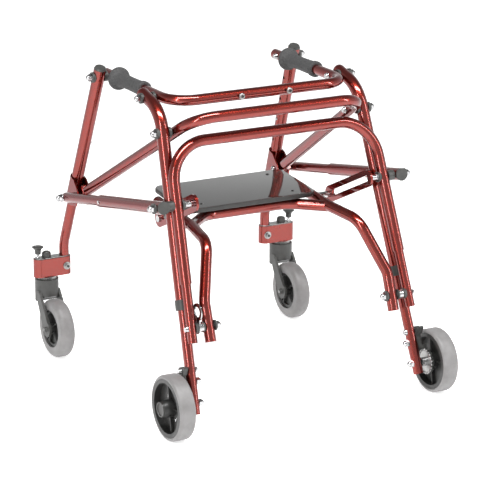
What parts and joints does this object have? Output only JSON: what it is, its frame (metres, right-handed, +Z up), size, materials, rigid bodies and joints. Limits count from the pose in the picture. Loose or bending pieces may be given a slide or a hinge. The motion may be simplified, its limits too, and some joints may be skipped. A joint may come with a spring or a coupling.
{
  "type": "posterior walker",
  "caption": "Folding posterior walker with a bent tube frame, flip-up seat, rubber grips, swivel casters in front and ratchet wheels behind.",
  "frame": {"origin": "on the floor under the middle of the overall length, in the mid-plane", "axes": "+X to the user's right, +Y forward to the casters, +Z up"},
  "size_m": [0.635, 0.6796, 0.6244],
  "materials": {
    "red_paint": "glossy metallic red paint",
    "black_plastic": "moulded black plastic",
    "hub_black": "moulded black plastic",
    "seat_black": "glossy black plastic",
    "grip_rubber": "soft black rubber",
    "chrome": "polished chrome",
    "zinc": "zinc plated steel",
    "tyre_grey": "grey solid rubber"
  },
  "bodies": {
    "rear_frame": {"upright_left": "red_paint", "upright_right": "red_paint", "lower_bar": "red_paint", "seat_posts": "red_paint", "frame_bushings": "black_plastic", "pivot_bolts": "chrome"},
    "handle": {"handle_bar": "red_paint", "grips": "grip_rubber", "handle_fasteners": "chrome"},
    "middle_bar": {"middle_bar": "red_paint"},
    "seat": {"seat_frame": "red_paint", "seat_plate": "seat_black", "seat_fittings": "chrome"},
    "front_leg_left": {"front_leg_left": "red_paint", "leg_cap_left": "black_plastic", "leg_bracket_left": "red_paint"},
    "leg_button_left": {"leg_button_left": "chrome"},
    "lower_leg_left": {"lower_leg_left": "red_paint", "caster_bracket_left": "red_paint", "caster_bolt_left": "zinc"},
    "caster_fork_left": {"caster_fork_left": "black_plastic"},
    "caster_wheel_left": {"caster_hub_left": "hub_black", "caster_tyre_left": "tyre_grey"},
    "lock_knob_left": {"lock_knob_left": "black_plastic"},
    "side_bar_left": {"side_bar_left": "red_paint", "side_cap_left": "black_plastic"},
    "side_rod_left": {"side_rod_left": "red_paint", "rod_nut_left": "chrome"},
    "side_button_left": {"side_button_left": "chrome"},
    "wheel_leg_left": {"wheel_leg_left": "red_paint", "rear_axle_left": "chrome"},
    "rear_wheel_left": {"rear_hub_left": "hub_black", "rear_tyre_left": "tyre_grey", "ratchet_left": "zinc"},
    "pawl_left": {"pawl_left": "black_plastic"},
    "seat_link_left": {"seat_link_left": "red_paint"},
    "front_leg_right": {"front_leg_right": "red_paint", "leg_cap_right": "black_plastic", "leg_bracket_right": "red_paint"},
    "leg_button_right": {"leg_button_right": "chrome"},
    "lower_leg_right": {"lower_leg_right": "red_paint", "caster_bracket_right": "red_paint", "caster_bolt_right": "zinc"},
    "caster_fork_right": {"caster_fork_right": "black_plastic"},
    "caster_wheel_right": {"caster_hub_right": "hub_black", "caster_tyre_right": "tyre_grey"},
    "lock_knob_right": {"lock_knob_right": "black_plastic"},
    "side_bar_right": {"side_bar_right": "red_paint", "side_cap_right": "black_plastic"},
    "side_rod_right": {"side_rod_right": "red_paint", "rod_nut_right": "chrome"},
    "side_button_right": {"side_button_right": "chrome"},
    "wheel_leg_right": {"wheel_leg_right": "red_paint", "rear_axle_right": "chrome"},
    "rear_wheel_right": {"rear_hub_right": "hub_black", "rear_tyre_right": "tyre_grey", "ratchet_right": "zinc"},
    "pawl_right": {"pawl_right": "black_plastic"},
    "seat_link_right": {"seat_link_right": "red_paint"}
  },
  "joints": [
    {"name": "fold", "type": "hinge", "parent": "rear_frame", "child": "handle", "pos_m": [0, -0.0307, 0.60014], "axis": [1, 0, 0], "range_deg": [-75, 0]},
    {"name": "arm_fold", "type": "hinge", "parent": "rear_frame", "child": "middle_bar", "pos_m": [0, -0.10069, 0.546], "axis": [1, 0, 0], "range_deg": [-54.5, 0]},
    {"name": "seat_flip", "type": "hinge", "parent": "rear_frame", "child": "seat", "pos_m": [0, -0.25086, 0.203], "axis": [1, 0, 0], "range_deg": [0, 25]},
    {"name": "leg_fold_left", "type": "hinge", "parent": "handle", "child": "front_leg_left", "pos_m": [-0.22144, 0.1748, 0.60014], "axis": [1, 0, 0], "range_deg": [0, 43]},
    {"name": "leg_button_left", "type": "slide", "parent": "front_leg_left", "child": "leg_button_left", "axis": [-0.9992, -0.0137, 0.0367], "range_m": [0, 0.0015], "stiffness_N_per_m": 600},
    {"name": "leg_length_left", "type": "slide", "parent": "front_leg_left", "child": "lower_leg_left", "axis": [-0.0392, 0.3499, -0.936], "range_m": [0, 0.075]},
    {"name": "caster_swivel_left", "type": "hinge", "parent": "lower_leg_left", "child": "caster_fork_left", "pos_m": [-0.27719, 0.31531, 0.16], "axis": [0, 0, 1], "continuous": true},
    {"name": "caster_roll_left", "type": "hinge", "parent": "caster_fork_left", "child": "caster_wheel_left", "pos_m": [-0.27719, 0.26831, 0.06], "axis": [1, 0, 0], "continuous": true},
    {"name": "swivel_lock_left", "type": "slide", "parent": "lower_leg_left", "child": "lock_knob_left", "axis": [0, 0, 1], "range_m": [0, 0.008], "stiffness_N_per_m": 500},
    {"name": "bar_fold_left", "type": "hinge", "parent": "rear_frame", "child": "side_bar_left", "pos_m": [-0.26268, -0.17115, 0.422], "axis": [1, 0, 0], "range_deg": [-58, 0]},
    {"name": "rod_slide_left", "type": "slide", "parent": "side_bar_left", "child": "side_rod_left", "axis": [0, 0.9819, -0.1893], "range_m": [-0.128, 0]},
    {"name": "side_button_left", "type": "slide", "parent": "side_bar_left", "child": "side_button_left", "axis": [1, 0, 0], "range_m": [0, 0.0015], "stiffness_N_per_m": 600},
    {"name": "wheel_leg_length_left", "type": "slide", "parent": "rear_frame", "child": "wheel_leg_left", "axis": [-0.0525, -0.3415, -0.9384], "range_m": [0, 0.075]},
    {"name": "wheel_roll_left", "type": "hinge", "parent": "wheel_leg_left", "child": "rear_wheel_left", "pos_m": [-0.29098, -0.2763, 0.0635], "axis": [1, 0, 0], "continuous": true},
    {"name": "pawl_lift_left", "type": "hinge", "parent": "wheel_leg_left", "child": "pawl_left", "pos_m": [-0.25737, -0.25479, 0.12262], "axis": [1, 0, 0], "range_deg": [-25, 0], "stiffness_Nm_per_rad": 0.2},
    {"name": "link_turn_left", "type": "hinge", "parent": "seat", "child": "seat_link_left", "pos_m": [-0.19235, -0.03154, 0.35718], "axis": [1, 0, 0], "range_deg": [0, 15]},
    {"name": "leg_fold_right", "type": "hinge", "parent": "handle", "child": "front_leg_right", "pos_m": [0.22144, 0.1748, 0.60014], "axis": [1, 0, 0], "range_deg": [0, 43]},
    {"name": "leg_button_right", "type": "slide", "parent": "front_leg_right", "child": "leg_button_right", "axis": [0.9992, -0.0137, 0.0367], "range_m": [0, 0.0015], "stiffness_N_per_m": 600},
    {"name": "leg_length_right", "type": "slide", "parent": "front_leg_right", "child": "lower_leg_right", "axis": [0.0392, 0.3499, -0.936], "range_m": [0, 0.075]},
    {"name": "caster_swivel_right", "type": "hinge", "parent": "lower_leg_right", "child": "caster_fork_right", "pos_m": [0.27719, 0.31531, 0.16], "axis": [0, 0, 1], "continuous": true},
    {"name": "caster_roll_right", "type": "hinge", "parent": "caster_fork_right", "child": "caster_wheel_right", "pos_m": [0.27719, 0.26831, 0.06], "axis": [1, 0, 0], "continuous": true},
    {"name": "swivel_lock_right", "type": "slide", "parent": "lower_leg_right", "child": "lock_knob_right", "axis": [0, 0, 1], "range_m": [0, 0.008], "stiffness_N_per_m": 500},
    {"name": "bar_fold_right", "type": "hinge", "parent": "rear_frame", "child": "side_bar_right", "pos_m": [0.26268, -0.17115, 0.422], "axis": [1, 0, 0], "range_deg": [-58, 0]},
    {"name": "rod_slide_right", "type": "slide", "parent": "side_bar_right", "child": "side_rod_right", "axis": [0, 0.9819, -0.1893], "range_m": [-0.128, 0]},
    {"name": "side_button_right", "type": "slide", "parent": "side_bar_right", "child": "side_button_right", "axis": [-1, 0, 0], "range_m": [0, 0.0015], "stiffness_N_per_m": 600},
    {"name": "wheel_leg_length_right", "type": "slide", "parent": "rear_frame", "child": "wheel_leg_right", "axis": [0.0525, -0.3415, -0.9384], "range_m": [0, 0.075]},
    {"name": "wheel_roll_right", "type": "hinge", "parent": "wheel_leg_right", "child": "rear_wheel_right", "pos_m": [0.29098, -0.2763, 0.0635], "axis": [1, 0, 0], "continuous": true},
    {"name": "pawl_lift_right", "type": "hinge", "parent": "wheel_leg_right", "child": "pawl_right", "pos_m": [0.25737, -0.25479, 0.12262], "axis": [1, 0, 0], "range_deg": [-25, 0], "stiffness_Nm_per_rad": 0.2},
    {"name": "link_turn_right", "type": "hinge", "parent": "seat", "child": "seat_link_right", "pos_m": [0.19235, -0.03154, 0.35718], "axis": [1, 0, 0], "range_deg": [0, 15]}
  ],
  "couplings": [
    {"joint": "arm_fold", "follows": "fold", "ratio": 0.7151},
    {"joint": "leg_fold_left", "follows": "fold", "ratio": -0.5589},
    {"joint": "bar_fold_left", "follows": "fold", "ratio": 0.7621},
    {"joint": "rod_slide_left", "follows": "fold", "m_per_rad": 0.09689},
    {"joint": "link_turn_left", "follows": "seat_flip", "ratio": 0.5556},
    {"joint": "leg_fold_right", "follows": "fold", "ratio": -0.5589},
    {"joint": "bar_fold_right", "follows": "fold", "ratio": 0.7621},
    {"joint": "rod_slide_right", "follows": "fold", "m_per_rad": 0.09689},
    {"joint": "link_turn_right", "follows": "seat_flip", "ratio": 0.5556}
  ]
}
